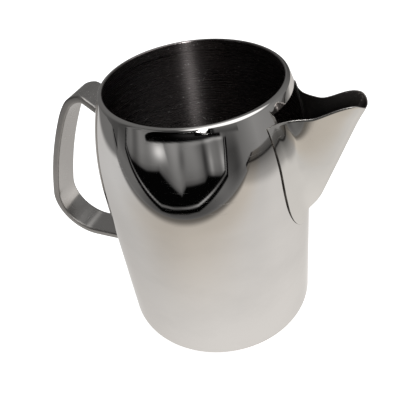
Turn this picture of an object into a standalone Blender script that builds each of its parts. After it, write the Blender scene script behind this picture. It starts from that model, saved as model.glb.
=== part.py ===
"""Milk frothing pitcher: drawn steel cup, open spout lapped onto it, strap handle and its two weld beads.

The origin is the middle of the base, +Z is up, the spout points along +X and the handle along -X.
"""

import math

import bmesh
import bpy
from mathutils import Vector

MM = 0.001

# Sheet and joint clearance
SHEET = 0.7 * MM
GAP = 0.3 * MM

# Cup
BODY_RADIUS = 50 * MM
BASE_CORNER_RADIUS = 4.7 * MM
SHOULDER_START = 85 * MM
SHOULDER_RADIUS = 130 * MM
SHOULDER_TURN = math.radians(20.8)

# Rim: the sheet rounds over outside and comes back down inside as a pressed hem
RIM_RADIUS = 2.0 * MM
RIM_TURN = math.radians(75)
HEM_FOLD_RADIUS = 0.45 * MM
HEM_LENGTH = 3.6 * MM

# Pour window behind the spout
WINDOW_TOP = 127.8 * MM
WINDOW_TOP_HALF_WIDTH = 14.6 * MM
WINDOW_BOTTOM = 72 * MM
WINDOW_SHOULDER = 98 * MM
WINDOW_HALF_WIDTH = 13.6 * MM
WINDOW_ROUNDNESS = 1.6

# Spout: flange and fold are half widths measured round the cup, the keel is the front edge
FLANGE_HALF_WIDTH = 21.2 * MM
FLANGE_BOTTOM = 63.5 * MM
FLANGE_TOP = 124.8 * MM
FOLD_HALF_WIDTH = 14.3 * MM
FOLD_BOTTOM = 65.9 * MM
TAPER_START = 100 * MM
FOLD_ROUNDING = 3 * MM
KEEL_BEND = Vector((57.7, 81.9)) * MM
KEEL_FOOT_HANDLE = 5 * MM
KEEL_BEND_HANDLE = 9.5 * MM
SPOUT_TIP = Vector((72.2, 125.7)) * MM
TIP_FLARE = 1.0 * MM
TIP_FLARE_START = 118 * MM
LIP_LOW = 123.9 * MM
LIP_PEAK = 129.9 * MM
LIP_RISE_FROM = 52.3 * MM
LIP_RISE_TO = 67.5 * MM

# Spout walls in plan: where the curve's two middle control points lie, at the keel's foot and at the tip
WALL_ROOT_REACH = 0.34
WALL_ROOT_WIDTH = (0.22, 0.33)
NOSE_WIDTH = (0.22, 0.80)
ROUNDING_SHARE = 0.1

# Handle strap: the outer face is a chain of arcs from the upper root round to the lower leg
STRAP_WIDTH = 16.2 * MM
STRAP_THICKNESS = 3.6 * MM
STRAP_EDGE_RADIUS = 0.9 * MM
STRAP_CREST_START = Vector((54.1, 120.9)) * MM
STRAP_ROOT_LENGTH = 14 * MM
STRAP_HEADING = math.radians(37)
STRAP_ARCS = (
    (5 * MM, math.radians(42), 5),
    (15 * MM, math.radians(45), 5),
    (60 * MM, math.radians(10), 2),
    (233 * MM, math.radians(13.8), 4),
    (22.2 * MM, math.radians(106.2), 10),
)
STRAP_LEG_END = 44 * MM
WELD_RADIUS = 1.2 * MM

# Facets
TURNS = 64
SHOULDER_STEPS = 6
CORNER_STEPS = 4
RIM_STEPS = 5
HEM_FOLD_STEPS = 3
WINDOW_STEPS = 8
SPOUT_ROWS = 15
ROW_CROWDING = 1.5
FLANGE_STEPS = 3
FOLD_STEPS = 3
WALL_STEPS = 8
EDGE_STEPS = 2
WELD_STEPS = 8


def clear_scene():
    for old in list(bpy.data.objects):
        bpy.data.objects.remove(old, do_unlink=True)


def steel(name, color, roughness):
    material = bpy.data.materials.new(name)
    material.use_nodes = True
    shader = material.node_tree.nodes["Principled BSDF"]
    shader.inputs["Base Color"].default_value = (*color, 1)
    shader.inputs["Roughness"].default_value = roughness
    shader.inputs["Metallic"].default_value = 1.0
    return material


def object_from(mesh_data, name, material=None, smooth_angle=40):
    mesh = bpy.data.meshes.new(name)
    bmesh.ops.recalc_face_normals(mesh_data, faces=mesh_data.faces)
    mesh_data.to_mesh(mesh)
    mesh_data.free()
    mesh.shade_smooth()
    mesh.set_sharp_from_angle(angle=math.radians(smooth_angle))
    made = bpy.data.objects.new(name, mesh)
    bpy.context.scene.collection.objects.link(made)
    if material:
        mesh.materials.append(material)
    return made


def make_cutter(cutter):
    cutter.hide_render = True
    cutter.display_type = "WIRE"


def cut(target, cutter):
    make_cutter(cutter)
    modifier = target.modifiers.new("cut_" + cutter.name, "BOOLEAN")
    modifier.operation = "DIFFERENCE"
    modifier.solver = "EXACT"
    modifier.object = cutter


def arc(center, radius, start, end, steps):
    """Points on a circle from one angle to another, both ends included."""
    angles = [start + (end - start) * i / steps for i in range(steps + 1)]
    return [center + radius * Vector((math.cos(a), math.sin(a))) for a in angles]


def cup_line(inset):
    """Profile this far under the cup's outer face: from the axis out, up, over the rim and down the hem."""
    corner = Vector((BODY_RADIUS - BASE_CORNER_RADIUS, BASE_CORNER_RADIUS))
    shoulder = Vector((BODY_RADIUS - SHOULDER_RADIUS, SHOULDER_START))
    top = Vector((math.cos(SHOULDER_TURN), math.sin(SHOULDER_TURN)))
    rim = shoulder + (SHOULDER_RADIUS - RIM_RADIUS) * top
    hem_depth = RIM_RADIUS + HEM_FOLD_RADIUS - (RIM_RADIUS - HEM_FOLD_RADIUS) * math.cos(RIM_TURN)
    points = [Vector((0, inset))]
    points += arc(corner, BASE_CORNER_RADIUS - inset, -math.pi / 2, 0, CORNER_STEPS)
    points += arc(shoulder, SHOULDER_RADIUS - inset, 0, SHOULDER_TURN, SHOULDER_STEPS)
    if inset:
        rim_turn = math.acos((RIM_RADIUS - hem_depth + inset) / (RIM_RADIUS - inset))
        fold = []
    else:
        rim_turn = RIM_TURN
        heading = SHOULDER_TURN + RIM_TURN
        middle = rim + (RIM_RADIUS - HEM_FOLD_RADIUS) * Vector((math.cos(heading), math.sin(heading)))
        fold = arc(middle, HEM_FOLD_RADIUS, heading, SHOULDER_TURN + math.pi, HEM_FOLD_STEPS)[1:]
    points += arc(rim, RIM_RADIUS - inset, SHOULDER_TURN, SHOULDER_TURN + rim_turn, RIM_STEPS)[1:]
    hem_turn = SHOULDER_TURN - HEM_LENGTH / SHOULDER_RADIUS
    hem_reach = SHOULDER_RADIUS - hem_depth + inset
    hem_foot = shoulder + hem_reach * Vector((math.cos(hem_turn), math.sin(hem_turn)))
    return points + fold + [hem_foot]


def revolve(line, name, material=None):
    mesh_data = bmesh.new()
    corners = [mesh_data.verts.new((p.x, 0, p.y)) for p in line]
    edges = [mesh_data.edges.new(pair) for pair in zip(corners, corners[1:])]
    bmesh.ops.spin(mesh_data, geom=corners + edges, cent=(0, 0, 0), axis=(0, 0, 1),
                   angle=2 * math.pi, steps=TURNS, use_merge=True)
    bmesh.ops.remove_doubles(mesh_data, verts=mesh_data.verts, dist=1e-6)
    return object_from(mesh_data, name, material)


def cup_radius(height, outset=0.0):
    """Radius of the cup's outer face at a height below the rim, moved out along its normal."""
    if height <= SHOULDER_START:
        return BODY_RADIUS + outset
    reach = SHOULDER_RADIUS + outset
    return BODY_RADIUS - SHOULDER_RADIUS + math.sqrt(reach**2 - (height - SHOULDER_START) ** 2)


def window_half_width(height):
    if height >= WINDOW_SHOULDER:
        share = (height - WINDOW_SHOULDER) / (WINDOW_TOP - WINDOW_SHOULDER)
        return WINDOW_HALF_WIDTH + share * (WINDOW_TOP_HALF_WIDTH - WINDOW_HALF_WIDTH)
    drop = (WINDOW_SHOULDER - height) / (WINDOW_SHOULDER - WINDOW_BOTTOM)
    return WINDOW_HALF_WIDTH * (1 - drop**WINDOW_ROUNDNESS)


def make_window_cutter():
    rise = WINDOW_SHOULDER - WINDOW_BOTTOM
    heights = [WINDOW_BOTTOM + rise * (i / WINDOW_STEPS) ** 2 for i in range(WINDOW_STEPS + 1)]
    heights.append(WINDOW_TOP)
    side = [(window_half_width(h), h) for h in heights]
    outline = side + [(-y, z) for y, z in reversed(side[1:])]
    mesh_data = bmesh.new()
    near = [mesh_data.verts.new((BODY_RADIUS * 0.6, y, z)) for y, z in outline]
    face = mesh_data.faces.new(near)
    pushed = bmesh.ops.extrude_face_region(mesh_data, geom=[face])["geom"]
    moved = [v for v in pushed if isinstance(v, bmesh.types.BMVert)]
    bmesh.ops.translate(mesh_data, verts=moved, vec=(BODY_RADIUS * 0.6, 0, 0))
    return object_from(mesh_data, "window_cutter")


def make_cup():
    material = steel("polished_steel_cup", (0.72, 0.70, 0.68), 0.06)
    line = cup_line(0.0) + list(reversed(cup_line(SHEET)))
    cup = revolve(line, "body_cup", material)
    cut(cup, make_window_cutter())
    return cup


def bezier(points, t):
    a, b, c, d = points
    s = 1 - t
    return s**3 * a + 3 * s * s * t * b + 3 * s * t * t * c + t**3 * d


def keel_reach(height):
    """How far out the front edge of the spout lies at a height."""
    wall = cup_radius(height, GAP + SHEET)
    if height <= FOLD_BOTTOM:
        return wall
    slope = (SPOUT_TIP - KEEL_BEND).normalized()
    if height >= KEEL_BEND.y:
        reach = KEEL_BEND.x + (height - KEEL_BEND.y) * slope.x / slope.y
        flare = max(0.0, height - TIP_FLARE_START) / (SPOUT_TIP.y - TIP_FLARE_START)
        return reach + TIP_FLARE * min(1.0, flare) ** 2
    start = Vector((cup_radius(FOLD_BOTTOM, GAP + SHEET), FOLD_BOTTOM))
    above_foot = start + Vector((0, KEEL_FOOT_HANDLE))
    curve = (start, above_foot, KEEL_BEND - KEEL_BEND_HANDLE * slope, KEEL_BEND)
    low, high = 0.0, 1.0
    for _ in range(40):
        middle = (low + high) / 2
        low, high = (middle, high) if bezier(curve, middle).y < height else (low, middle)
    return max(wall, bezier(curve, low).x)


def flange_half_width(height):
    drop = max(0.0, TAPER_START - height) / (TAPER_START - FLANGE_BOTTOM)
    return FLANGE_HALF_WIDTH * math.sqrt(max(0.0, 1 - drop**2))


def fold_half_width(height):
    drop = min(1.0, max(0.0, TAPER_START - height) / (TAPER_START - FOLD_BOTTOM))
    return FOLD_HALF_WIDTH * (1 - drop**1.5)


def on_cup(height, around):
    """Plan point on the spout's outer face where it lies against the cup."""
    radius = cup_radius(height, GAP + SHEET)
    angle = around / radius
    return Vector((radius * math.cos(angle), radius * math.sin(angle)))


def half_section(height):
    """Plan points of the spout's outer face at a height, from the flange's edge to the keel."""
    edge, fold = flange_half_width(height), fold_half_width(height)
    rounding = min(FOLD_ROUNDING, (edge - fold) / 2, fold / 2)
    root = on_cup(height, fold)
    reach = keel_reach(height)
    rise = max(0.0, height - FOLD_BOTTOM) / (SPOUT_TIP.y - FOLD_BOTTOM)
    root_width = WALL_ROOT_WIDTH[0] + rise * (WALL_ROOT_WIDTH[1] - WALL_ROOT_WIDTH[0])
    nose_width = NOSE_WIDTH[0] + rise * (NOSE_WIDTH[1] - NOSE_WIDTH[0])
    wall = (
        root,
        Vector((root.x + WALL_ROOT_REACH * (reach - root.x), root_width * root.y)),
        Vector((reach, nose_width * root.y)),
        Vector((reach, 0.0)),
    )
    after_fold = ROUNDING_SHARE * rounding / FOLD_ROUNDING
    inward = (fold + rounding - edge) / FLANGE_STEPS
    points = [on_cup(height, edge + inward * i) for i in range(FLANGE_STEPS + 1)]
    start, end = points[-1], bezier(wall, after_fold)
    for i in range(1, FOLD_STEPS):
        t = i / FOLD_STEPS
        points.append((1 - t) ** 2 * start + 2 * t * (1 - t) * root + t * t * end)
    for i in range(WALL_STEPS + 1):
        points.append(bezier(wall, after_fold + (1 - after_fold) * i / WALL_STEPS))
    return points


def lip_height(reach):
    """Height of the spout's upper edge over a plan point this far out."""
    share = min(1.0, max(0.0, (reach - LIP_RISE_FROM) / (LIP_RISE_TO - LIP_RISE_FROM)))
    tip = max(0.0, reach - LIP_RISE_TO) / (keel_reach(SPOUT_TIP.y) - LIP_RISE_TO)
    rise = (LIP_PEAK - LIP_LOW) * share**2 * (3 - 2 * share)
    return LIP_LOW + rise - (LIP_PEAK - SPOUT_TIP.y) * tip**2


def make_spout():
    columns = FLANGE_STEPS + FOLD_STEPS + WALL_STEPS
    flange_columns = FLANGE_STEPS + 1
    top = half_section(LIP_LOW)
    tops = [FLANGE_TOP if i < flange_columns else lip_height(p.x) for i, p in enumerate(top)]
    mesh_data = bmesh.new()
    rows = []
    for row in range(SPOUT_ROWS + 1):
        level = FLANGE_BOTTOM + (LIP_LOW - FLANGE_BOTTOM) * (row / SPOUT_ROWS) ** ROW_CROWDING
        stretch = max(0.0, level - TAPER_START) / (LIP_LOW - TAPER_START)
        half = []
        for column in range(columns):
            height = level + (tops[column] - LIP_LOW) * stretch
            plan = half_section(height)[column]
            half.append((plan.x, plan.y, height))
        full = half + [(x, -y, z) for x, y, z in reversed(half[:-1])]
        rows.append([mesh_data.verts.new(point) for point in full])
    for lower, upper in zip(rows, rows[1:]):
        for i in range(len(lower) - 1):
            mesh_data.faces.new((lower[i], upper[i], upper[i + 1], lower[i + 1]))
    bmesh.ops.remove_doubles(mesh_data, verts=mesh_data.verts, dist=1e-6)
    spout = object_from(mesh_data, "spout", steel("polished_steel_spout", (0.72, 0.70, 0.67), 0.06), 60)
    wall = spout.modifiers.new("sheet", "SOLIDIFY")
    wall.thickness = SHEET
    wall.offset = -1
    return spout


def strap_line():
    """Points and headings along the middle of the strap, from the upper root to the lower one."""
    heading = STRAP_HEADING
    place = STRAP_CREST_START.copy()
    half = STRAP_THICKNESS / 2

    def mid(point, angle):
        return (point + half * Vector((math.sin(angle), -math.cos(angle))), angle)

    forward = Vector((math.cos(heading), math.sin(heading)))
    line = [mid(place - STRAP_ROOT_LENGTH * forward, heading), mid(place, heading)]
    for radius, turn, steps in STRAP_ARCS:
        center = place + radius * Vector((math.sin(heading), -math.cos(heading)))
        for i in range(1, steps + 1):
            angle = heading - turn * i / steps
            point = center - radius * Vector((math.sin(angle), -math.cos(angle)))
            line.append(mid(point, angle))
        heading -= turn
        place = point
    line.append(mid(Vector((STRAP_LEG_END, place.y)), heading))
    return line


def strap_section(grow=0.0):
    """Rounded outline of the strap: across its width, through its thickness."""
    radius = STRAP_EDGE_RADIUS + grow
    across = STRAP_WIDTH / 2 + grow - radius
    through = STRAP_THICKNESS / 2 + grow - radius
    points = []
    for quarter, (side, face) in enumerate(((1, 1), (-1, 1), (-1, -1), (1, -1))):
        start = quarter * math.pi / 2
        center = Vector((side * across, face * through))
        points += arc(center, radius, start, start + math.pi / 2, EDGE_STEPS)
    return points


def place_on_strap(line_point, heading, across, through):
    """World point of a section point: the strap runs in the XZ plane on the -X side."""
    out = line_point + through * Vector((-math.sin(heading), math.cos(heading)))
    return Vector((-out.x, across, out.y))


def sweep(rings, closed_path=False):
    """Joins rings of points into one closed surface, with end caps unless the path is closed."""
    mesh_data = bmesh.new()
    loops = [[mesh_data.verts.new(p) for p in ring] for ring in rings]
    pairs = list(zip(loops, loops[1:]))
    if closed_path:
        pairs.append((loops[-1], loops[0]))
    for one, two in pairs:
        for i in range(len(one)):
            j = (i + 1) % len(one)
            mesh_data.faces.new((one[i], one[j], two[j], two[i]))
    if not closed_path:
        mesh_data.faces.new(loops[0])
        mesh_data.faces.new(loops[-1])
    return mesh_data


def make_strap(name, grow=0.0, material=None):
    section = strap_section(grow)
    rings = [[place_on_strap(p, a, s.x, s.y) for s in section] for p, a in strap_line()]
    return object_from(sweep(rings), name, material)


def root_on_cup(start, direction):
    """First point outside the cup's outer face going along a direction from a point inside it."""
    low, high = 0.0, 30 * MM
    for _ in range(40):
        middle = (low + high) / 2
        point = start + middle * direction
        inside = math.hypot(point.x, point.y) < cup_radius(point.z)
        low, high = (middle, high) if inside else (low, middle)
    return start + low * direction


def make_weld(name, line_point, heading, outward, material):
    """Bead round the strap where it meets the cup, before the strap and the cup are cut from it."""
    section = strap_section(GAP)
    direction = Vector((-math.cos(heading), 0, math.sin(heading))) * outward
    base = [root_on_cup(place_on_strap(line_point, heading, s.x, s.y), direction) for s in section]
    middle = sum(base, Vector()) / len(base)
    rings = []
    for i, point in enumerate(base):
        along = (base[(i + 1) % len(base)] - base[i - 1]).normalized()
        side = (point - middle - (point - middle).dot(along) * along).normalized()
        up = along.cross(side)
        ring = arc(Vector((0, 0)), WELD_RADIUS, 0, 2 * math.pi, WELD_STEPS)[:-1]
        rings.append([point + p.x * side + p.y * up for p in ring])
    return object_from(sweep(rings, closed_path=True), name, material)


def make_handle():
    steel_strap = steel("polished_steel_handle", (0.68, 0.66, 0.64), 0.10)
    weld_metal = steel("weld_metal", (0.60, 0.57, 0.50), 0.30)
    clearance = cup_line(-GAP)[: CORNER_STEPS + SHOULDER_STEPS + 3]
    clearance.append(Vector((0, clearance[-1].y)))
    cup_clearance = revolve(clearance, "cup_clearance")
    strap_clearance = make_strap("strap_clearance", GAP)
    handle = make_strap("handle_strap", 0.0, steel_strap)
    cut(handle, cup_clearance)
    line = strap_line()
    roots = (("handle_upper_weld", line[0], 1), ("handle_lower_weld", line[-1], -1))
    for name, (point, heading), outward in roots:
        weld = make_weld(name, point, heading, outward, weld_metal)
        cut(weld, cup_clearance)
        cut(weld, strap_clearance)


def main():
    clear_scene()
    make_cup()
    make_spout()
    make_handle()


main()
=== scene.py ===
import math

import bmesh
import bpy
import numpy as np
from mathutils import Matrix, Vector


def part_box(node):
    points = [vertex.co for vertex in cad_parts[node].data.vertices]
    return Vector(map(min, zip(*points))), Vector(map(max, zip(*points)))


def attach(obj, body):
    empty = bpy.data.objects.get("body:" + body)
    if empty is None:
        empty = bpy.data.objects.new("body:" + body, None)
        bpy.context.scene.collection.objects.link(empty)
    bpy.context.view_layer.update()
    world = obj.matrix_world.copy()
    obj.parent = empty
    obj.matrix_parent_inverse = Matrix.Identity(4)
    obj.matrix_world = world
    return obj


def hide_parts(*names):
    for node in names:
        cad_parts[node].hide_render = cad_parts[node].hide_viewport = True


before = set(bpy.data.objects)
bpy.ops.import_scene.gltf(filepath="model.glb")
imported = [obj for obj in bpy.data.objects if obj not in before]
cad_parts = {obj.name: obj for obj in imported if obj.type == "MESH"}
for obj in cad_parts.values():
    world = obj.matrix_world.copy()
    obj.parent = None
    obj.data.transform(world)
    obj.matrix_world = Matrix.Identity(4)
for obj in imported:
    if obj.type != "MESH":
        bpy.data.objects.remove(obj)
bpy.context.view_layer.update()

MM = 0.001


def frame_size(node, axis, end=1):
    """Where a CAD node ends along an axis, in millimetres: end 0 is its low side and 1 its high side."""
    return round(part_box(node)[end][axis] / MM, 3)


# Cup, in millimetres like every length below
SHEET = 0.7
BODY_RADIUS = frame_size("body_cup", 1)
CORNER_RADIUS = 4.7
SHOULDER_START = 85.0
SHOULDER_RADIUS = 130.0
SHOULDER_TURN = math.radians(20.8)
RIM_RADIUS = 1.96
RIM_TURN = math.radians(75)
HEM_FOLD_RADIUS = 0.45
HEM_LENGTH = 3.6

# Where the cup's mesh has rings, across the base and up the wall, and how finely it is divided
BASE_RINGS = (0, 12, 24, 34, 41, 44.4)
WALL_RINGS = (5.4, 8, 14, 24, 36, 48, 60, 70, 77, 81, 83.5)
CORNER_STEPS, SHOULDER_STEPS, RIM_STEPS, HEM_FOLD_STEPS, HEM_STEPS = 12, 30, 12, 6, 4
TURNS = 256

# Pour window behind the spout
WINDOW_TOP = 127.8
WINDOW_TOP_HALF_WIDTH = 14.6
WINDOW_BOTTOM = 72.0
WINDOW_SHOULDER = 98.0
WINDOW_HALF_WIDTH = 13.6
WINDOW_ROUNDNESS = 1.6
WINDOW_STEPS = 24
CUTTER_REACH = (30, 60)

# Spout
SPOUT_SHEET = 0.6
SEAM_GAP = 0.05
LIP_THINNING = 0.25
LIP_THINNING_START = 108.0
FOOT_THICKNESS = 0.1
FULL_THICKNESS_FROM = 88.0
FLANGE_HALF_WIDTH = 20.9
FLANGE_BOTTOM = frame_size("spout", 2, 0)
FLANGE_TOP = 124.5
FOLD_HALF_WIDTH = 14.3
FOLD_BOTTOM = 65.9
TAPER_START = 100.0
FOLD_TAPER = 1.5
FOLD_ROUNDING = 3.0
KEEL_BEND = Vector((57.7, 81.9))
KEEL_FOOT_HANDLE = 5.0
KEEL_BEND_HANDLE = 9.5
SPOUT_TIP = Vector((72.2, 125.7))
TIP_FLARE = 0.5
TIP_FLARE_START = 118.0
LIP_LOW = 123.6
LIP_PEAK = 129.6
LIP_RISE_FROM = 52.3
LIP_RISE_TO = 67.5

# How far out the hollow walls leave the root, and their widths there and at the nose, as shares of the
# root's: at the foot, and what is added up to the tip
WALL_ROOT_REACH = 0.34
WALL_ROOT_WIDTH = (0.22, 0.11)
NOSE_WIDTH = (0.22, 0.58)
ROUNDING_SHARE = 0.1

# How the spout's mesh is divided, and how far above its foot its normals are still being blended
SPOUT_ROWS = 84
ROW_CROWDING = 1.2
FLANGE_STEPS, FOLD_STEPS, WALL_STEPS, EDGE_STEPS = 8, 8, 36, 5
NORMAL_BLEND = 4.0

# Handle
STRAP_WIDTH = round(2 * frame_size("handle_strap", 1), 3)
STRAP_THICKNESS = 3.6
STRAP_EDGE = 0.9
STRAP_CREST = Vector((54.1, 120.9))
STRAP_ROOT_STOPS = (9, 6.5, 4.5, 2.5, 1.0, 0)
STRAP_LEG_END = 52.5
STRAP_SINK = 0.2
STRAP_HEADING = math.radians(37)
# Radius, turn and number of sections of each bend, from the crest round to the leg
STRAP_ARCS = (
    (5, math.radians(42), 16),
    (14.86, math.radians(45), 18),
    (60, math.radians(10), 6),
    (233, math.radians(13.8), 12),
    (22.2, math.radians(106.2), 40),
)
WELD = 1.0
WELD_STEPS = 6


def mesh_object(points, faces, name, sharp=40, face_slots=None):
    """A smooth-shaded object from points in millimetres."""
    mesh = bpy.data.meshes.new(name)
    mesh.from_pydata([tuple(float(c) * MM for c in p) for p in points], [], faces)
    if face_slots:
        mesh.polygons.foreach_set("material_index", face_slots)
    tidy = bmesh.new()
    tidy.from_mesh(mesh)
    bmesh.ops.remove_doubles(tidy, verts=tidy.verts, dist=1e-7)
    bmesh.ops.recalc_face_normals(tidy, faces=tidy.faces)
    tidy.to_mesh(mesh)
    tidy.free()
    mesh.shade_smooth()
    mesh.set_sharp_from_angle(angle=math.radians(sharp))
    made = bpy.data.objects.new(name, mesh)
    bpy.context.scene.collection.objects.link(made)
    return made


def arc(center, radius, start, end, steps):
    angles = np.linspace(start, end, steps + 1)
    return [center + radius * Vector((math.cos(a), math.sin(a))) for a in angles]


def cup_radius(height, outset=0.0):
    if height <= SHOULDER_START:
        return BODY_RADIUS + outset
    reach = SHOULDER_RADIUS + outset
    return BODY_RADIUS - SHOULDER_RADIUS + math.sqrt(reach**2 - (height - SHOULDER_START) ** 2)


def cup_normal(point):
    """Outward normal of the cup's outer face beside a point on its wall or shoulder."""
    flat = Vector((point.x, point.y, 0)).normalized()
    tilt = math.asin(max(0.0, point.z - SHOULDER_START) / SHOULDER_RADIUS)
    return flat * math.cos(tilt) + Vector((0, 0, math.sin(tilt)))


def cup_line(inset):
    """Profile this far under the cup's outer face: from the axis out, up, over the rim and down the hem."""
    corner = Vector((BODY_RADIUS - CORNER_RADIUS, CORNER_RADIUS))
    shoulder = Vector((BODY_RADIUS - SHOULDER_RADIUS, SHOULDER_START))
    top = Vector((math.cos(SHOULDER_TURN), math.sin(SHOULDER_TURN)))
    rim = shoulder + (SHOULDER_RADIUS - RIM_RADIUS) * top
    hem_depth = RIM_RADIUS + HEM_FOLD_RADIUS - (RIM_RADIUS - HEM_FOLD_RADIUS) * math.cos(RIM_TURN)
    line = [Vector((r, inset)) for r in BASE_RINGS]
    line += arc(corner, CORNER_RADIUS - inset, -math.pi / 2, 0, CORNER_STEPS)
    line += [Vector((BODY_RADIUS - inset, z)) for z in WALL_RINGS]
    line += arc(shoulder, SHOULDER_RADIUS - inset, 0, SHOULDER_TURN, SHOULDER_STEPS)
    if inset:
        rim_turn = math.acos((RIM_RADIUS - hem_depth + inset) / (RIM_RADIUS - inset))
        fold = []
    else:
        rim_turn = RIM_TURN
        heading = SHOULDER_TURN + RIM_TURN
        middle = rim + (RIM_RADIUS - HEM_FOLD_RADIUS) * Vector((math.cos(heading), math.sin(heading)))
        fold = arc(middle, HEM_FOLD_RADIUS, heading, SHOULDER_TURN + math.pi, HEM_FOLD_STEPS)[1:]
    line += arc(rim, RIM_RADIUS - inset, SHOULDER_TURN, SHOULDER_TURN + rim_turn, RIM_STEPS)[1:]
    hem_turn = SHOULDER_TURN - HEM_LENGTH / SHOULDER_RADIUS
    hem = arc(shoulder, SHOULDER_RADIUS - hem_depth + inset, SHOULDER_TURN - 0.002, hem_turn, HEM_STEPS - 1)
    return line + fold + hem


def revolve(line, name, inside_from):
    """A closed ring of profile points turned about the Z axis; faces from one point on get slot 1."""
    points, faces, slots = [], [], []
    for p in line:
        for i in range(TURNS):
            angle = 2 * math.pi * i / TURNS
            points.append((p.x * math.cos(angle), p.x * math.sin(angle), p.y))
    for row in range(len(line) - 1):
        for i in range(TURNS):
            j = (i + 1) % TURNS
            low, high = row * TURNS, (row + 1) * TURNS
            if line[row].x == 0:
                faces.append((low, high + i, high + j))
            elif line[row + 1].x == 0:
                faces.append((low + i, low + j, high))
            else:
                faces.append((low + i, low + j, high + j, high + i))
            slots.append(int(row >= inside_from))
    return mesh_object(points, faces, name, 50, slots)


def window_half_width(height):
    if height >= WINDOW_SHOULDER:
        share = (height - WINDOW_SHOULDER) / (WINDOW_TOP - WINDOW_SHOULDER)
        return WINDOW_HALF_WIDTH + share * (WINDOW_TOP_HALF_WIDTH - WINDOW_HALF_WIDTH)
    drop = (WINDOW_SHOULDER - height) / (WINDOW_SHOULDER - WINDOW_BOTTOM)
    return WINDOW_HALF_WIDTH * (1 - drop**WINDOW_ROUNDNESS)


def cut(target, cutter):
    """Cuts one object from another and leaves plain geometry."""
    modifier = target.modifiers.new("cut", "BOOLEAN")
    modifier.operation = "DIFFERENCE"
    modifier.solver = "EXACT"
    modifier.object = cutter
    bpy.context.view_layer.update()
    graph = bpy.context.evaluated_depsgraph_get()
    mesh = bpy.data.meshes.new_from_object(target.evaluated_get(graph))
    target.modifiers.clear()
    target.data = mesh
    mesh.name = target.name
    mesh.shade_smooth()
    mesh.set_sharp_from_angle(angle=math.radians(50))
    bpy.data.objects.remove(cutter)


def make_cup():
    outside = cup_line(0.0)
    inside = list(reversed(cup_line(SHEET)))
    cup = revolve(outside + inside, "cup_shell", len(outside) - HEM_STEPS - HEM_FOLD_STEPS - 1)
    rise = WINDOW_SHOULDER - WINDOW_BOTTOM
    heights = [WINDOW_BOTTOM + rise * (i / WINDOW_STEPS) ** 2 for i in range(WINDOW_STEPS + 1)]
    side = [(window_half_width(h), h) for h in heights + [WINDOW_TOP]]
    outline = side + [(-y, z) for y, z in reversed(side[1:])]
    count = len(outline)
    points = [(x, y, z) for x in CUTTER_REACH for y, z in outline]
    faces = [tuple(range(count)), tuple(range(2 * count - 1, count - 1, -1))]
    faces += [(i, (i + 1) % count, count + (i + 1) % count, count + i) for i in range(count)]
    cut(cup, mesh_object(points, faces, "window_cutter", 40, [2] * len(faces)))
    return cup


def bezier(points, t):
    a, b, c, d = points
    s = 1 - t
    return s**3 * a + 3 * s * s * t * b + 3 * s * t * t * c + t**3 * d


def smooth(low, high, value):
    """For one plain number: 0 at the low end, 1 at the high end, and a smooth rise between."""
    share = min(1.0, max(0.0, (value - low) / (high - low)))
    return share * share * (3 - 2 * share)


def flange_outset(height):
    """The flange stands proud of the cup by its thickness, thin at its foot and towards the lip."""
    thickness = SPOUT_SHEET - LIP_THINNING * smooth(LIP_THINNING_START, LIP_LOW, height)
    above_foot = smooth(FLANGE_BOTTOM, FULL_THICKNESS_FROM, height)
    return SEAM_GAP + FOOT_THICKNESS + (thickness - FOOT_THICKNESS) * above_foot


def keel_reach(height):
    wall = cup_radius(height, flange_outset(height))
    if height <= FOLD_BOTTOM:
        return wall
    slope = (SPOUT_TIP - KEEL_BEND).normalized()
    if height >= KEEL_BEND.y:
        reach = KEEL_BEND.x + (height - KEEL_BEND.y) * slope.x / slope.y
        flare = max(0.0, height - TIP_FLARE_START) / (SPOUT_TIP.y - TIP_FLARE_START)
        return reach + TIP_FLARE * min(1.0, flare) ** 2
    start = Vector((cup_radius(FOLD_BOTTOM, flange_outset(FOLD_BOTTOM)), FOLD_BOTTOM))
    curve = (start, start + Vector((0, KEEL_FOOT_HANDLE)), KEEL_BEND - KEEL_BEND_HANDLE * slope, KEEL_BEND)
    low, high = 0.0, 1.0
    for _ in range(40):
        middle = (low + high) / 2
        low, high = (middle, high) if bezier(curve, middle).y < height else (low, middle)
    return max(wall, bezier(curve, low).x)


def flange_half_width(height):
    drop = max(0.0, TAPER_START - height) / (TAPER_START - FLANGE_BOTTOM)
    return FLANGE_HALF_WIDTH * math.sqrt(max(0.0, 1 - drop**2))


def fold_half_width(height):
    drop = min(1.0, max(0.0, TAPER_START - height) / (TAPER_START - FOLD_BOTTOM))
    return FOLD_HALF_WIDTH * (1 - drop**FOLD_TAPER)


def on_cup(height, around):
    radius = cup_radius(height, flange_outset(height))
    angle = around / radius
    return Vector((radius * math.cos(angle), radius * math.sin(angle)))


def share_at(widths, rise):
    """Width share at this rise from the spout's foot to its tip."""
    foot, added = widths
    return foot + added * rise


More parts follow.
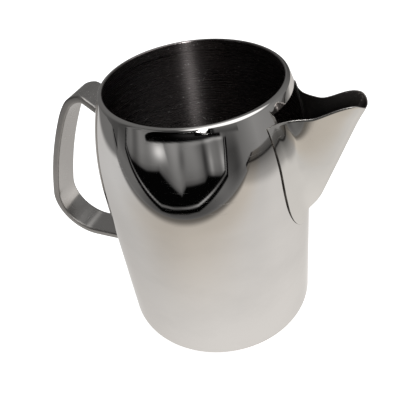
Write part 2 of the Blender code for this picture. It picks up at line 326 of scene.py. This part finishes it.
def half_section(height):
    """Plan points of the spout's outer face at a height, from the flange's edge to the keel."""
    edge, fold = flange_half_width(height), fold_half_width(height)
    rounding = min(FOLD_ROUNDING, (edge - fold) / 2, fold / 2)
    root = on_cup(height, fold)
    reach = keel_reach(height)
    rise = max(0.0, height - FOLD_BOTTOM) / (SPOUT_TIP.y - FOLD_BOTTOM)
    wall = (
        root,
        Vector((root.x + WALL_ROOT_REACH * (reach - root.x), share_at(WALL_ROOT_WIDTH, rise) * root.y)),
        Vector((reach, share_at(NOSE_WIDTH, rise) * root.y)),
        Vector((reach, 0.0)),
    )
    after_fold = ROUNDING_SHARE * rounding / FOLD_ROUNDING
    inward = (fold + rounding - edge) / FLANGE_STEPS
    points = [on_cup(height, edge + inward * i) for i in range(FLANGE_STEPS + 1)]
    start, end = points[-1], bezier(wall, after_fold)
    for i in range(1, FOLD_STEPS):
        t = i / FOLD_STEPS
        points.append((1 - t) ** 2 * start + 2 * t * (1 - t) * root + t * t * end)
    for i in range(WALL_STEPS + 1):
        points.append(bezier(wall, after_fold + (1 - after_fold) * i / WALL_STEPS))
    return points


def lip_height(reach):
    share = smooth(LIP_RISE_FROM, LIP_RISE_TO, reach)
    tip = max(0.0, reach - LIP_RISE_TO) / (keel_reach(SPOUT_TIP.y) - LIP_RISE_TO)
    return LIP_LOW + (LIP_PEAK - LIP_LOW) * share - (LIP_PEAK - SPOUT_TIP.y) * tip**2


def spout_grid():
    """The spout's outer face: rows from its foot to its lip, columns from one flange edge to the other."""
    half_columns = FLANGE_STEPS + FOLD_STEPS + WALL_STEPS
    top = half_section(LIP_LOW)
    tops = []
    for i, p in enumerate(top):
        along = smooth(FLANGE_STEPS - 3, FLANGE_STEPS + FOLD_STEPS, i)
        tops.append(FLANGE_TOP + along * (lip_height(p.x) - FLANGE_TOP))
    grid = []
    for row in range(SPOUT_ROWS + 1):
        level = FLANGE_BOTTOM + (LIP_LOW - FLANGE_BOTTOM) * (row / SPOUT_ROWS) ** ROW_CROWDING
        stretch = max(0.0, level - TAPER_START) / (LIP_LOW - TAPER_START)
        half = []
        for column in range(half_columns):
            height = level + (tops[column] - LIP_LOW) * stretch
            plan = half_section(height)[column]
            half.append((plan.x, plan.y, height))
        grid.append(half + [(x, -y, z) for x, y, z in reversed(half[:-1])])
    return np.array(grid)


def spout_normals(outer):
    """Outward normals of the grid, level at its foot, where the rows bunch together."""
    normal = np.cross(np.gradient(outer, axis=0), np.gradient(outer, axis=1))
    size = np.linalg.norm(normal, axis=2, keepdims=True)
    radial = outer * (1, 1, 0) / np.linalg.norm(outer * (1, 1, 0), axis=2, keepdims=True)
    normal = np.where(size > 1e-9, normal / np.maximum(size, 1e-9), radial)
    normal *= np.sign((normal * radial).sum())
    above_foot = [[smooth(FOLD_BOTTOM, FOLD_BOTTOM + NORMAL_BLEND, p[2]) for p in r] for r in outer]
    normal = radial + np.array(above_foot)[..., None] * (normal - radial)
    return normal / np.linalg.norm(normal, axis=2, keepdims=True)


def make_spout():
    outer = spout_grid()
    count = outer.shape[1]
    normal = spout_normals(outer)
    thick = np.array([[flange_outset(p[2]) - SEAM_GAP for p in r] for r in outer])[..., None]
    inner = outer - thick * normal

    points = list(outer.reshape(-1, 3)) + list(inner.reshape(-1, 3))
    shift = len(points) // 2
    faces, slots = [], []
    for row in range(SPOUT_ROWS):
        for i in range(count - 1):
            a = row * count + i
            faces.append((a, a + 1, a + count + 1, a + count))
            faces.append((shift + a, shift + a + count, shift + a + count + 1, shift + a + 1))
            slots += [0, 1]
    loop = [(row, 0) for row in range(SPOUT_ROWS + 1)]
    loop += [(SPOUT_ROWS, i) for i in range(1, count)]
    loop += [(row, count - 1) for row in range(SPOUT_ROWS - 1, 0, -1)]
    strips = []
    for k, (row, i) in enumerate(loop):
        before, after = loop[k - 1], loop[(k + 1) % len(loop)]
        along = outer[after] - outer[before]
        out = np.cross(normal[row, i], along)
        out /= max(1e-9, np.linalg.norm(out))
        middle = (outer[row, i] + inner[row, i]) / 2
        half_thick = thick[row, i] / 2
        strip = [row * count + i]
        for step in range(1, EDGE_STEPS):
            turn = math.pi * step / EDGE_STEPS
            spot = middle + half_thick * (math.cos(turn) * normal[row, i] - math.sin(turn) * out)
            strip.append(len(points))
            points.append(spot)
        strip.append(shift + row * count + i)
        strips.append(strip)
    for k, strip in enumerate(strips):
        other = strips[(k + 1) % len(strips)]
        side = loop[k][1] in (0, count - 1) and loop[(k + 1) % len(loop)][1] in (0, count - 1)
        for step in range(EDGE_STEPS):
            faces.append((strip[step], other[step], other[step + 1], strip[step + 1]))
            # Slot 2, on the flange's side edges, is the seam's painted shadow; slot 3, on the lip's edge, is
            # edge steel painted darker.
            slots.append(2 if side else 3)
    return mesh_object(points, faces, "spout_sheet", 75, slots)


def strap_line():
    """Points and headings along the middle of the strap, from the upper root to the lower one."""
    heading = STRAP_HEADING
    place = STRAP_CREST.copy()
    half = STRAP_THICKNESS / 2

    def mid(point, angle):
        return (point + half * Vector((math.sin(angle), -math.cos(angle))), angle)

    forward = Vector((math.cos(heading), math.sin(heading)))
    line = [mid(place - back * forward, heading) for back in STRAP_ROOT_STOPS]
    for radius, turn, steps in STRAP_ARCS:
        center = place + radius * Vector((math.sin(heading), -math.cos(heading)))
        for i in range(1, steps + 1):
            angle = heading - turn * i / steps
            point = center - radius * Vector((math.sin(angle), -math.cos(angle)))
            line.append(mid(point, angle))
        heading -= turn
        place = point
    for share in (0.06, 0.2, 0.4, 0.6, 0.8, 1.0):
        end = Vector((place.x + share * (STRAP_LEG_END - place.x), place.y))
        line.append(mid(end, heading))
    return line


def strap_section(grow=0.0):
    """Rounded outline of the strap, with support points beside each rounded edge."""
    radius = STRAP_EDGE + grow
    across = STRAP_WIDTH / 2 + grow - radius
    through = STRAP_THICKNESS / 2 + grow - radius
    points = []
    for quarter, (side, face) in enumerate(((1, 1), (-1, 1), (-1, -1), (1, -1))):
        start = quarter * math.pi / 2
        center = Vector((side * across, face * through))
        points += arc(center, radius, start, start + math.pi / 2, 6)
        if face * side > 0:
            for share in (0.04, 0.25, 0.5, 0.75, 0.96):
                points.append(Vector((side * across * (1 - 2 * share), face * (through + radius))))
    return points


def on_strap(line_point, heading, across, through):
    """World point of a section point: the strap runs in the XZ plane on the -X side."""
    out = line_point + through * Vector((-math.sin(heading), math.cos(heading)))
    return Vector((-out.x, across, out.y))


def to_cup(point, direction, depth=0.0):
    """Moves a point along a direction until it lies on the cup's outer face, this deep in it."""
    low, high = -30.0, 30.0
    for _ in range(50):
        middle = (low + high) / 2
        spot = point + middle * direction
        inside = math.hypot(spot.x, spot.y) < cup_radius(spot.z) - depth
        low, high = (middle, high) if inside else (low, middle)
    return point + low * direction


def root_direction(heading, outward):
    """Direction in which the strap runs off the cup at one of its roots."""
    return Vector((-math.cos(heading), 0, math.sin(heading))) * outward


def make_strap():
    section = strap_section()
    line = strap_line()
    rings = [[on_strap(p, a, s.x, s.y) for s in section] for p, a in line]
    for ring, (_, heading), outward in ((rings[0], line[0], 1), (rings[-1], line[-1], -1)):
        direction = root_direction(heading, outward)
        ring[:] = [to_cup(point, direction, STRAP_SINK) for point in ring]
    count = len(section)
    points = [p for ring in rings for p in ring]
    flat_part = STRAP_WIDTH / 2 - 1.02 * STRAP_EDGE
    faces, slots = [], []
    for row in range(len(rings) - 1):
        for i in range(count):
            j = (i + 1) % count
            low, high = row * count, (row + 1) * count
            faces.append((low + i, low + j, high + j, high + i))
            # Faces round the strap's edges take slot 1, the edge steel with its painted shade.
            slots.append(int(abs(section[i].x + section[j].x) / 2 > flat_part))
    faces.append(tuple(range(count)))
    last = (len(rings) - 1) * count
    faces.append(tuple(range(last + count - 1, last - 1, -1)))
    slots += [0, 0]
    return mesh_object(points, faces, "strap_handle", 50, slots)


def make_weld(name, line_entry, outward):
    """Concave bead round the strap's root, from the cup's face up onto the strap."""
    line_point, heading = line_entry
    section = strap_section()
    direction = root_direction(heading, outward)
    base = [to_cup(on_strap(line_point, heading, s.x, s.y), direction) for s in section]
    outline = [on_strap(line_point, heading, s.x, s.y) for s in section]
    count = len(base)
    points, faces = [], []
    for i, foot in enumerate(base):
        along = (outline[(i + 1) % count] - outline[i - 1]).normalized()
        away = along.cross(direction).normalized()
        middle = sum(outline, Vector()) / count
        if away.dot(outline[i] - middle) < 0:
            away = -away
        normal = cup_normal(foot)
        side = (away - away.dot(normal) * normal).normalized()
        size = WELD * (1 + 0.12 * math.sin(i * 2.4) + 0.08 * math.sin(i * 5.1 + 1))
        center = foot + size * side + size * direction
        ring = [foot - 0.15 * normal - 0.1 * side]
        for step in range(WELD_STEPS + 1):
            turn = math.pi / 2 * step / WELD_STEPS
            ring.append(center - size * (math.cos(turn) * direction + math.sin(turn) * side))
        ring[1] = to_cup(foot + size * 1.1 * side, normal) - 0.02 * normal
        ring[-1] = ring[-1] - 0.05 * away
        points += ring
    width = WELD_STEPS + 2
    for i in range(count):
        j = (i + 1) % count
        for k in range(width):
            m = (k + 1) % width
            faces.append((i * width + k, j * width + k, j * width + m, i * width + m))
    return mesh_object(points, faces, name, 80)


cup = make_cup()
spout = make_spout()
strap = make_strap()
strap_path = strap_line()
upper_weld = make_weld("weld_upper", strap_path[0], 1)
lower_weld = make_weld("weld_lower", strap_path[-1], -1)

MADE = (
    (cup, "body_cup", "polished_steel_cup"),
    (spout, "spout", "polished_steel_spout"),
    (strap, "handle_strap", "polished_steel_handle"),
    (upper_weld, "handle_upper_weld", "weld_metal"),
    (lower_weld, "handle_lower_weld", "weld_metal"),
)
for piece, node, slot in MADE:
    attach(piece, "root")
    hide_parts(node)


# Materials

def new_material(name):
    material = bpy.data.materials.new(name)
    material.use_nodes = True
    tree = material.node_tree
    tree.nodes.clear()
    output = tree.nodes.new("ShaderNodeOutputMaterial")
    shader = tree.nodes.new("ShaderNodeBsdfPrincipled")
    tree.links.new(shader.outputs[0], output.inputs[0])
    return material, tree, shader


def add(tree, kind, inputs=(), **settings):
    """A new node; inputs maps socket names or indices to numbers or to other nodes' outputs."""
    node = tree.nodes.new("ShaderNode" + kind)
    for key, value in settings.items():
        setattr(node, key, value)
    for key, value in dict(inputs).items():
        if isinstance(value, bpy.types.NodeSocket):
            tree.links.new(value, node.inputs[key])
        else:
            node.inputs[key].default_value = value
    return node


def math_node(tree, operation, a, b=0.0):
    return add(tree, "Math", {0: a, 1: b}, operation=operation).outputs[0]


def noise(tree, vector, scale, detail=2.0, roughness=0.5):
    made = add(tree, "TexNoise", {"Vector": vector, "Scale": scale, "Detail": detail, "Roughness": roughness})
    return made.outputs[0]


def remap(tree, value, low, high, to_low, to_high):
    made = add(tree, "MapRange", {0: value, 1: low, 2: high, 3: to_low, 4: to_high}, clamp=True)
    return made.outputs[0]


def stretched(tree, vector, scale, turn=(0, 0, 0)):
    made = add(tree, "Mapping", {"Vector": vector, "Scale": scale, "Rotation": turn})
    return made.outputs[0]


UNROLL_RADIUS = 0.05


def unrolled(tree):
    """Object position with the turn about Z laid flat: (way round in metres, height, distance out)."""
    place = add(tree, "TexCoord").outputs["Object"]
    split = add(tree, "SeparateXYZ", {0: place})
    angle = math_node(tree, "ARCTAN2", split.outputs[1], split.outputs[0])
    across = add(tree, "CombineXYZ", {0: split.outputs[0], 1: split.outputs[1]}).outputs[0]
    out = add(tree, "VectorMath", {0: across}, operation="LENGTH").outputs["Value"]
    round_way = math_node(tree, "MULTIPLY", angle, UNROLL_RADIUS)
    return place, add(tree, "CombineXYZ", {0: round_way, 1: split.outputs[2], 2: out}).outputs[0]


def hairlines(tree, vector, direction, thin, long, share):
    """Sparse fine scratches along one direction: 1 on a scratch, 0 beside it."""
    lines = noise(tree, stretched(tree, vector, (long, thin, thin), (0, 0, direction)), 1.0, 1.0)
    patches = noise(tree, stretched(tree, vector, (90, 90, 90), (0, 0, direction)), 1.0, 1.0)
    line = remap(tree, lines, share, share + 0.05, 0, 1)
    patch = remap(tree, patches, 0.5, 0.62, 0, 1)
    return math_node(tree, "MULTIPLY", line, patch)


def polished(name, colour, roughness, wear, grain=None):
    """Mirror-polished steel: slight waves from the pressing, polishing haze and hairline scratches."""
    material, tree, shader = new_material(name)
    place, flat = unrolled(tree)
    vector = place if grain else flat
    haze = noise(tree, stretched(tree, vector, (22, 34, 22)), 1.0, 4.0, 0.6)
    swirl = noise(tree, stretched(tree, vector, grain or (60, 700, 60)), 1.0, 3.0, 0.6)
    scratches = hairlines(tree, vector, 0.35, 2600, 60, 0.68)
    for direction in (1.25, -0.6):
        scratches = math_node(tree, "MAXIMUM", scratches, hairlines(tree, vector, direction, 2300, 50, 0.7))
    low, high = roughness
    rough = remap(tree, haze, 0.35, 0.72, low, high)
    rough = math_node(tree, "ADD", rough, math_node(tree, "MULTIPLY", swirl, 0.5 * (high - low)))
    rough = math_node(tree, "ADD", rough, math_node(tree, "MULTIPLY", scratches, 0.16 * wear))
    tree.links.new(rough, shader.inputs["Roughness"])
    tint = add(tree, "Mix", {6: (*colour, 1), 7: (*[c * 0.93 for c in colour], 1)}, data_type="RGBA")
    tree.links.new(remap(tree, haze, 0.45, 0.8, 0, 1), tint.inputs[0])
    tree.links.new(tint.outputs[2], shader.inputs["Base Color"])
    waves = noise(tree, stretched(tree, vector, (26, 20, 26)), 1.0, 1.0)
    bump = add(tree, "Bump", {"Strength": 1.0, "Distance": 0.00004, "Height": waves})
    grooves = add(tree, "Bump", {"Strength": 0.25 * wear, "Distance": 0.000004, "Height": scratches,
                                 "Normal": bump.outputs[0]}, invert=True)
    tree.links.new(grooves.outputs[0], shader.inputs["Normal"])
    shader.inputs["Metallic"].default_value = 1.0
    shader.inputs["Specular Tint"].default_value = (0.84, 0.83, 0.82, 1)
    return material


def satin(name, colour, speck_colour, roughness, anisotropy):
    """The unpolished inside: fine rings left by spinning, with stray bright specks."""
    material, tree, shader = new_material(name)
    flat = unrolled(tree)[1]
    rings = noise(tree, stretched(tree, flat, (14, 2600, 2600)), 1.0, 3.0, 0.65)
    broad = noise(tree, stretched(tree, flat, (10, 160, 160)), 1.0, 2.0)
    dashes = noise(tree, stretched(tree, flat, (520, 1500, 1500)), 1.0, 1.0)
    specks = remap(tree, dashes, 0.70, 0.75, 0, 1)
    rough = remap(tree, rings, 0.3, 0.7, *roughness)
    rough = math_node(tree, "ADD", rough, math_node(tree, "MULTIPLY", broad, 0.03))
    tree.links.new(rough, shader.inputs["Roughness"])
    tint = add(tree, "Mix", {6: (*colour, 1), 7: (*[c * 0.6 for c in colour], 1)}, data_type="RGBA")
    tree.links.new(remap(tree, rings, 0.3, 0.7, 0, 1), tint.inputs[0])
    speckled = add(tree, "Mix", {0: specks, 6: tint.outputs[2], 7: (*speck_colour, 1)}, data_type="RGBA")
    tree.links.new(speckled.outputs[2], shader.inputs["Base Color"])
    height = math_node(tree, "ADD", rings, specks)
    bump = add(tree, "Bump", {"Strength": 0.8, "Distance": 0.00002, "Height": height})
    tree.links.new(bump.outputs[0], shader.inputs["Normal"])
    shader.inputs["Metallic"].default_value = 1.0
    shader.inputs["Anisotropic"].default_value = anisotropy
    shader.inputs["Anisotropic Rotation"].default_value = 0.25
    tangent = add(tree, "Tangent", direction_type="RADIAL", axis="Z")
    tree.links.new(tangent.outputs[0], shader.inputs["Tangent"])
    return material


def dressed_weld(name):
    """Weld bead: ripples, heat tint and a duller skin than the sheet."""
    material, tree, shader = new_material(name)
    place = add(tree, "TexCoord").outputs["Object"]
    ripples = noise(tree, stretched(tree, place, (900, 900, 900)), 1.0, 2.0)
    stains = noise(tree, stretched(tree, place, (260, 260, 260)), 1.0, 3.0)
    tint = add(tree, "Mix", {6: (0.60, 0.57, 0.50, 1), 7: (0.30, 0.26, 0.21, 1)}, data_type="RGBA")
    tree.links.new(remap(tree, stains, 0.42, 0.62, 0, 1), tint.inputs[0])
    tree.links.new(tint.outputs[2], shader.inputs["Base Color"])
    tree.links.new(remap(tree, stains, 0.3, 0.7, 0.22, 0.5), shader.inputs["Roughness"])
    bump = add(tree, "Bump", {"Strength": 0.6, "Distance": 0.00012, "Height": ripples})
    tree.links.new(bump.outputs[0], shader.inputs["Normal"])
    shader.inputs["Metallic"].default_value = 1.0
    return material


def seam_shadow(name):
    """The thin dark line where the spout's edge meets the cup: the gap's shadow, painted in as dark colour of
    uneven tone.
    """
    material, tree, shader = new_material(name)
    place = add(tree, "TexCoord").outputs["Object"]
    shade_tone = noise(tree, stretched(tree, place, (400, 400, 300)), 1.0, 3.0)
    tint = add(tree, "Mix", {6: (0.04, 0.036, 0.032, 1), 7: (0.16, 0.145, 0.13, 1)}, data_type="RGBA")
    tree.links.new(remap(tree, shade_tone, 0.4, 0.7, 0, 1), tint.inputs[0])
    tree.links.new(tint.outputs[2], shader.inputs["Base Color"])
    tree.links.new(remap(tree, shade_tone, 0.3, 0.7, 0.35, 0.6), shader.inputs["Roughness"])
    shader.inputs["Metallic"].default_value = 1.0
    return material


CUP_STEEL = (0.72, 0.70, 0.68)
outside_steel = polished("steel_outside", CUP_STEEL, (0.015, 0.05), 1.0)
# Inside colour painted far darker than the outside's steel: painted shade of the jug's interior.
inside_steel = satin("steel_inside", (0.28, 0.255, 0.25), (0.80, 0.78, 0.76), (0.22, 0.28), 1.0)
# Darker still on the spout's inside and the window's cut faces: painted shade in these recesses.
channel_steel = satin("steel_channel", (0.15, 0.138, 0.134), (0.22, 0.21, 0.20), (0.30, 0.42), 0.0)
spout_steel = polished("steel_spout", (0.72, 0.70, 0.67), (0.02, 0.06), 1.0)
# Handle colour painted darker than the cup's: painted shade dimming the handle's reflections.
strap_steel = polished("steel_handle", (0.60, 0.58, 0.56), (0.12, 0.22), 1.6, (35, 1500, 35))
# Edges: rougher, and painted dark to dim their highlights (painted shade).
shaded_edge_steel = polished("steel_sheared_edge_painted_shade", (0.36, 0.345, 0.33), (0.28, 0.46), 1.2, (260, 260, 260))
weld_steel = dressed_weld("weld")
# Seam colour: painted shadow along the gap between the spout's edge and the cup.
seam_steel = seam_shadow("seam")
for piece, materials in (
    (cup, (outside_steel, inside_steel, channel_steel)),
    (spout, (spout_steel, channel_steel, seam_steel, shaded_edge_steel)),
    (strap, (strap_steel, shaded_edge_steel)),
    (upper_weld, (weld_steel,)),
    (lower_weld, (weld_steel,)),
):
    for material in materials:
        piece.data.materials.append(material)


# Light tent: sheets that only reflections see, so the polish has soft studio surroundings to show.
# Levels are greys out of 255, as polished steel shows them. Lengths are in millimetres.

STEEL_REFLECTANCE = 0.68
WARM_PAPER = np.array((1.0, 0.93, 0.84))
CARD_FRONT = -200.0
CARD_HALF_WIDTH = 440.0
DOME_RADIUS = 1200.0
LAMP_LEVEL = 880


def glow(level):
    """Radiance that polished steel shows as this grey."""
    return ((np.asarray(level, float) / 255) ** 2.2 / STEEL_REFLECTANCE)[..., None]


def ramp(value, stops):
    return np.interp(value, [s[0] for s in stops], [s[1] for s in stops])


def ease(low, high, value):
    """The same rise as smooth gives, for arrays. With low the larger of the two, it falls."""
    share = np.clip((value - low) / (high - low), 0, 1)
    return share * share * (3 - 2 * share)


def toned(level, share, other):
    """The level, with this share of another one mixed in."""
    return level + share * (other - level)


def line_distance(x, z, path):
    """Distance from each point to a polyline."""
    best = np.full(np.shape(x), 1e9)
    for (ax, az), (bx, bz) in zip(path, path[1:]):
        along = np.array((bx - ax, bz - az), float)
        share = np.clip(((x - ax) * along[0] + (z - az) * along[1]) / (along @ along), 0, 1)
        best = np.minimum(best, np.hypot(x - ax - share * along[0], z - az - share * along[1]))
    return best


def soft_spot(x, z, center, size):
    return np.exp(-(((x - center[0]) / size[0]) ** 2) - ((z - center[1]) / size[1]) ** 2)


def light_sheet(name, points, colours, material):
    """Grid of glowing points that only reflections see."""
    rows, columns = points.shape[:2]
    faces = [
        (a, a + 1, a + columns + 1, a + columns)
        for a in (r * columns + c for r in range(rows - 1) for c in range(columns - 1))
    ]
    mesh = bpy.data.meshes.new(name)
    mesh.from_pydata((points.reshape(-1, 3) * MM).tolist(), [], faces)
    layer = mesh.color_attributes.new("glow", "FLOAT_COLOR", "POINT")
    values = np.ones((rows * columns, 4))
    values[:, :3] = colours.reshape(-1, 3)
    layer.data.foreach_set("color", values.ravel())
    sheet = bpy.data.objects.new(name, mesh)
    bpy.context.scene.collection.objects.link(sheet)
    sheet.visible_camera = sheet.visible_diffuse = sheet.visible_shadow = False
    sheet.visible_transmission = sheet.visible_volume_scatter = False
    mesh.materials.append(material)


def make_glow(name, sampling):
    material = bpy.data.materials.new(name)
    material.use_nodes = True
    tree = material.node_tree
    tree.nodes.clear()
    attribute = add(tree, "Attribute", attribute_name="glow")
    emission = add(tree, "Emission", {"Color": attribute.outputs["Color"]})
    output = add(tree, "OutputMaterial")
    tree.links.new(emission.outputs[0], output.inputs[0])
    material.cycles.emission_sampling = sampling
    return material


sheet_glow = make_glow("sheet_glow", "NONE")
lamp_glow = make_glow("lamp_glow", "FRONT_BACK")


def make_table_paper():
    """White paper the jug stands on, with a painted shadow of the jug beside the handle. It runs up to the
    front card and falls off to either side.
    """
    x, y = np.meshgrid(np.arange(-900, 901, 6.0), np.arange(-260, 901, 6.0))
    away = np.hypot(x, y)
    level = ramp(away, ((0, 207), (60, 206), (90, 198), (130, 190), (200, 186), (900, 178)))
    level -= 14 * ease(-70, -175, y) * ease(400, 60, np.abs(x))
    level += 7 * ease(20, 120, x) * ease(-70, 0, y)
    level -= 14 * ease(30, -60, x) * ease(260, 60, away)
    # Painted shadow of the jug on the paper, beside the handle.
    level -= 14 * soft_spot(x, y, (-85, 70), (60, 45))
    level = toned(92, ease(-196, -168, y), level)
    level *= ease(-236, -222, y) * 0.75 + 0.25
    right_side = ramp(x, ((250, 195), (340, 146), (500, 104), (560, 92), (600, 28), (640, 70), (900, 90)))
    level = toned(level, ease(240, 320, x), np.minimum(level, right_side))
    level = toned(level, ease(-370, -470, x), np.minimum(level, 104))
    warmth = (0.25 + 0.75 * ease(-60, -150, y)) * ease(-260, -20, x)
    tint = 1 + warmth[..., None] * (WARM_PAPER - 1)
    light_sheet("tent_floor", np.stack((x, y, np.full_like(x, -0.05)), -1), glow(level) * tint, sheet_glow)


# Opening of the front card, with a black seam along its edge and a second one inside it
OPENING_EDGE = ((-262, 130), (-262, 80), (-200, 56), (-60, 14), (60, 20), (205, 60), (240, 150))
SEAM_WIDTH = 4.5
SEAM_SPACING = 14.0

# Lower edge of the cloth that hangs behind the opening
CLOTH_FOOT = ((-262, 70), (-100, 78), (-50, 88), (15, 51), (32, 68), (95, 70), (110, 80), (205, 60))


def card_level(x, z):
    """The front card itself: pale at its foot, grey above, and meeting the dome softly at its right."""
    left = ramp(z, ((-60, 175), (-30, 168), (-12, 130), (8, 96), (45, 98), (70, 84), (110, 66), (400, 58)))
    right = ramp(z, ((-60, 175), (-35, 160), (-5, 112), (25, 80), (55, 60), (110, 60), (185, 92), (400, 88)))
    level = toned(left, ease(150, 300, x), right)
    level = toned(level, ease(290, 430, x) * ease(5, 40, z), 98)
    return level - 26 * ease(200, 60, np.abs(x)) * ease(-10, 5, z) * ease(40, 20, z)


def cloth_level(x, z):
    """Hanging cloth: soft folds that lean a little, a lit patch and a shaded crease either side."""
    lean = x + 0.10 * (z - 100) + 5 * np.sin(z * 0.045)
    level = 96 + 9 * np.sin(lean * 0.045) + 7 * np.sin(lean * 0.092 + 1.3)
    level += 26 * soft_spot(x, z, (-20, 130), (95, 40))
    level += 96 * soft_spot(x, z, (-44, 121), (24, 15)) * ease(-20, -27, x + 0.5 * (z - 121))
    level -= 34 * soft_spot(x, z, (26, 116), (11, 26)) + 30 * soft_spot(x, z, (106, 112), (9, 40))
    level += 44 * soft_spot(x, z, (130, 96), (10, 34)) + 46 * soft_spot(x, z, (192, 92), (13, 34))
    return level


def make_front_card():
    """Grey card in front with the opening, the cloth behind it and a dark room above the cloth."""
    x, z = np.meshgrid(np.arange(-CARD_HALF_WIDTH, CARD_HALF_WIDTH + 1, 2.5), np.arange(-60, 402, 2.5))
    level = card_level(x, z)
    edge_height = ramp(x, ((-263, 400),) + OPENING_EDGE[1:] + ((241, 400),))
    opening = ease(-1, 3, z - edge_height) * ease(-263, -258, x)
    from_edge = line_distance(x, z, OPENING_EDGE)
    lining = 78 + 44 * soft_spot(x, z, (-110, 34), (60, 40)) + 70 * soft_spot(x, z, (86, 30), (50, 40))
    level = toned(level, opening, lining)
    level = toned(level, opening * ease(11, 19, from_edge), 11)
    foot = ramp(x, CLOTH_FOOT)
    hang = cloth_level(x, z) * ramp(z - foot, ((0, 0.62), (12, 0.92), (30, 1.0)))
    level = toned(level, opening * ease(-3, 3, z - foot), hang)
    cloth_top = ramp(x, ((-118, 128), (0, 140), (160, 152)))
    room_left = -84 - 22 * soft_spot(x, z, (-95, 139), (60, 14))
    room = ease(-1.5, 2.5, z - cloth_top) * ease(-4, 4, x - room_left) * ease(212, 196, x)
    level += 42 * np.exp(-(((z - cloth_top + 4) / 3.5) ** 2)) * ease(40, 120, x) * ease(235, 200, x)
    level = toned(level, room, 8 + 34 * soft_spot(x, z, (60, 158), (50, 9)) + 50 * ease(230, 300, z))
    seam = ease(SEAM_WIDTH + 2.5, SEAM_WIDTH - 0.5, from_edge)
    inner_seam = ease(SEAM_WIDTH, SEAM_WIDTH - 3, np.abs(from_edge - SEAM_SPACING)) * opening
    level = toned(level, np.maximum(seam, inner_seam) * ease(152, 146, z), 6)
    shelf = ease(160, 180, x) * ease(156, 166, z)
    level = toned(level, shelf, ramp(z, ((156, 62), (180, 78), (200, 92))))
    # Painted glow of the lamp on the card round its foot.
    painted_lamp_spill = soft_spot(x, z, (122, 180), (32, 18))
    level = toned(level, painted_lamp_spill, 150)
    tint = 1 + ease(-10, -40, z)[..., None] * (WARM_PAPER - 1)
    points = np.stack((x, np.full_like(x, CARD_FRONT), z), -1)
    light_sheet("tent_front", points, glow(np.clip(level, 3, 400)) * tint, sheet_glow)


def toward(azimuth, elevation):
    """Unit direction: azimuth 0 is the front, -Y, and 90 the spout's side, +X."""
    flat = np.cos(elevation)
    return np.stack((np.sin(azimuth) * flat, -np.cos(azimuth) * flat, np.sin(elevation)), -1)


def make_dome():
    """Grey dome over everything, with soft round lamps, a tall strip light and a dark front.

    az and el are a ray's azimuth and elevation in degrees.
    """
    az, el = np.meshgrid(np.linspace(-180, 180, 361), np.linspace(-30, 90, 121))
    rays = toward(np.radians(az), np.radians(el))
    low = ramp(az, ((-180, 60), (-150, 100), (-110, 96), (-75, 70), (-30, 60), (60, 90), (85, 128),
                    (110, 120), (160, 90), (180, 60)))
    high = ramp(az, ((-180, 96), (-90, 96), (-30, 60), (30, 60), (70, 110), (180, 96)))
    level = toned(low, ease(10, 45, el), high)
    level = toned(level, ease(-31, -26, az) * ease(30, 22, az) * ease(64, 56, el), 9)
    strip = ease(26, 28, az) * ease(42, 37, az) * ease(9, 14, el) * ease(88, 80, el)
    level = toned(level, strip, 275)
    for center, radius, feather, bright in (
        ((82, 66), 24, 12, 262),
        ((-42, 40), 8, 8, 205),
        ((-156, 62), 6, 6, 168),
        ((122, 54), 5, 8, 220),
    ):
        apart = np.degrees(np.arccos(np.clip(rays @ toward(*np.radians(center)), -1, 1)))
        level = toned(level, ease(radius + feather, radius, apart), np.maximum(level, bright))
    light_sheet("tent_dome", rays * DOME_RADIUS, glow(level) * np.ones(3), sheet_glow)


def make_lamp_panel():
    """Tall lamp just in front of the card: the highlight on the neck and the streak down the inside."""
    x, z = np.meshgrid(np.arange(78, 151, 4.0), np.arange(156, 421, 8.0))
    lean = 0.12 * np.maximum(0, 300 - z)
    share = ease(94, 108, x + lean) * ease(150, 132, x + lean)
    share *= ease(156, 190, z + 0.4 * (x - 122)) * ease(420, 380, z) * (1 + 0.3 * ease(290, 230, z))
    points = np.stack((x, np.full_like(x, CARD_FRONT + 2), z), -1)
    light_sheet("lamp_panel", points, glow(LAMP_LEVEL * share) * np.ones(3), lamp_glow)


make_table_paper()
make_front_card()
make_dome()
make_lamp_panel()


# Visible floor and white surroundings

floor_mesh = bpy.data.meshes.new("floor")
floor_mesh.from_pydata([(-6, -6, 0), (6, -6, 0), (6, 6, 0), (-6, 6, 0)], [], [(0, 1, 2, 3)])
floor = bpy.data.objects.new("floor", floor_mesh)
floor.location.z = -0.0001
bpy.context.scene.collection.objects.link(floor)
floor.visible_glossy = False
material, tree, shader = new_material("floor_white")
shader.inputs["Base Color"].default_value = (0.82, 0.82, 0.82, 1)
shader.inputs["Roughness"].default_value = 0.9
shader.inputs["Specular IOR Level"].default_value = 0.0
shader.inputs["Emission Color"].default_value = (1, 1, 1, 1)
shader.inputs["Emission Strength"].default_value = 0.62
floor_mesh.materials.append(material)
material.cycles.emission_sampling = "NONE"

world = bpy.data.worlds.new("studio")
world.use_nodes = True
world.node_tree.nodes["Background"].inputs[0].default_value = (1, 1, 1, 1)
world.node_tree.nodes["Background"].inputs[1].default_value = 1.0
world.cycles_visibility.glossy = False
bpy.context.scene.world = world
bpy.context.scene.view_settings.view_transform = "Standard"


# Camera, with its focal length as a share of the sensor's width
SENSOR_WIDTH = 36
FOCAL_SHARE = 520 / 420
camera_data = bpy.data.cameras.new("camera")
camera_data.sensor_width = SENSOR_WIDTH
camera_data.lens = SENSOR_WIDTH * FOCAL_SHARE
camera = bpy.data.objects.new("camera", camera_data)
camera.location = (0.094295, -0.182760, 0.233704)
camera.rotation_euler = [math.radians(a) for a in (49.1033, 6.2922, 22.0774)]
bpy.context.scene.collection.objects.link(camera)
bpy.context.scene.camera = camera
